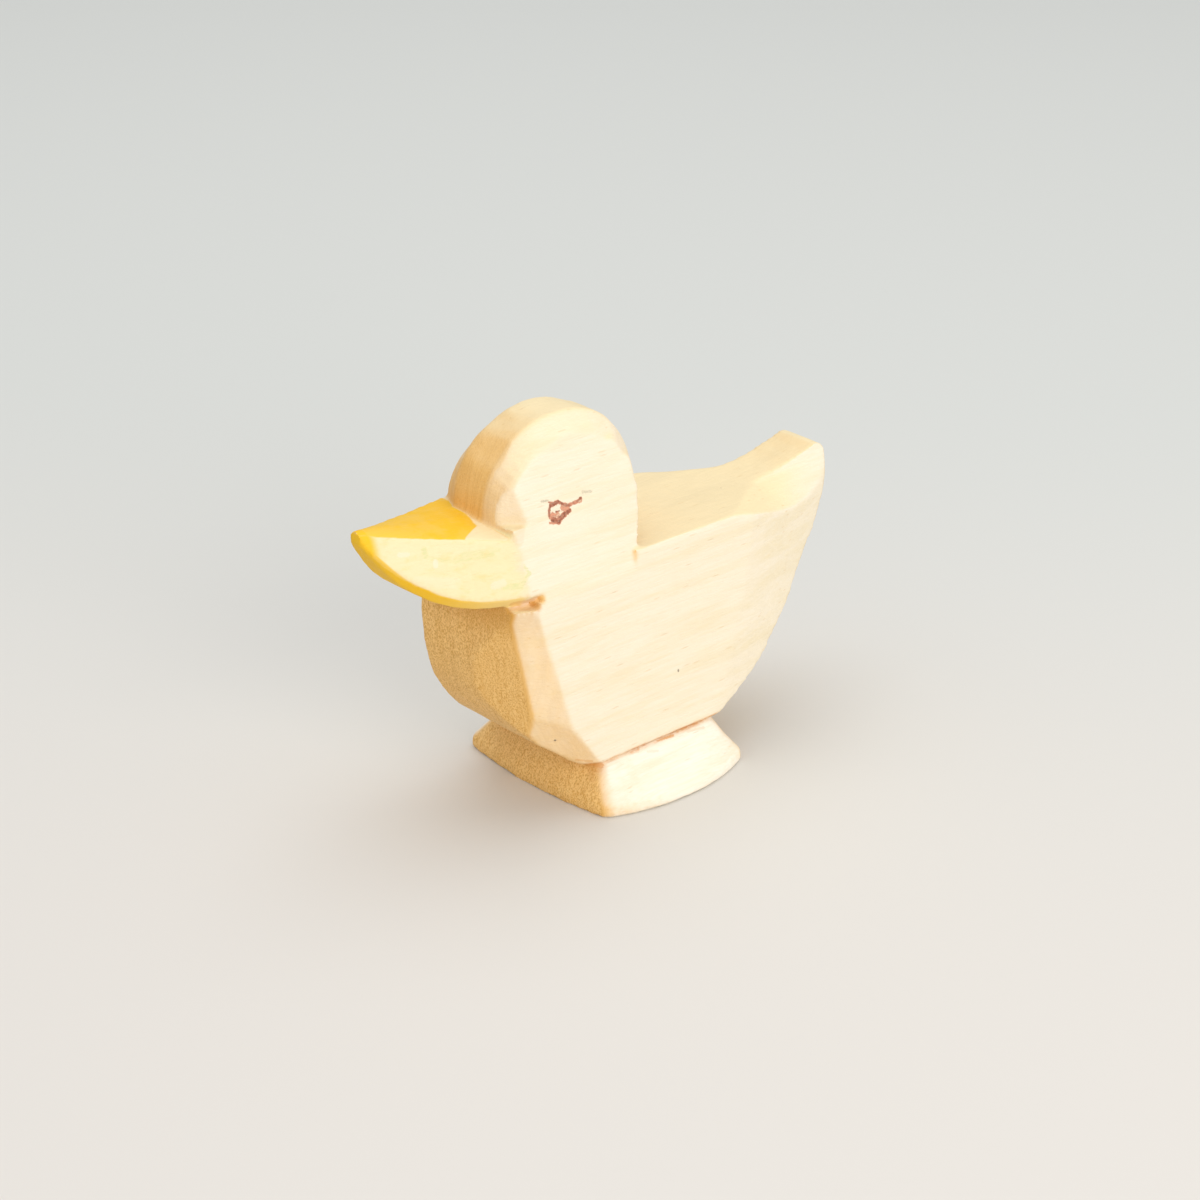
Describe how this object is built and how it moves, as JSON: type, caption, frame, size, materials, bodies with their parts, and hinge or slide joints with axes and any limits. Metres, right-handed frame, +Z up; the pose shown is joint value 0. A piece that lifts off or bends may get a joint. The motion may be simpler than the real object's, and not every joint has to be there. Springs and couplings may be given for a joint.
{
  "type": "duckling figurine",
  "caption": "Knife-carved duckling of pale wood with a stained beak and painted eyes, standing on a flared foot block.",
  "frame": {"origin": "middle of the foot block's flat underside, on the face that it stands on", "axes": "+Z up; the beak points along -Y and the tail along +Y; the duckling's left flank is at +X"},
  "size_m": [0.0254, 0.0591, 0.0401],
  "materials": {
    "bare_wood": "bare, knife-cut, fine pale grain",
    "stained_wood": "the same wood under a thin brushed yellow stain",
    "foot_wood": "bare, knife-cut, darker end grain in front",
    "eye_paint": "thin matt reddish-brown paint, broken over the grain"
  },
  "bodies": {
    "root": {"body": "bare_wood", "beak": "stained_wood", "base": "foot_wood", "left_eye": "eye_paint", "right_eye": "eye_paint"}
  },
  "joints": []
}
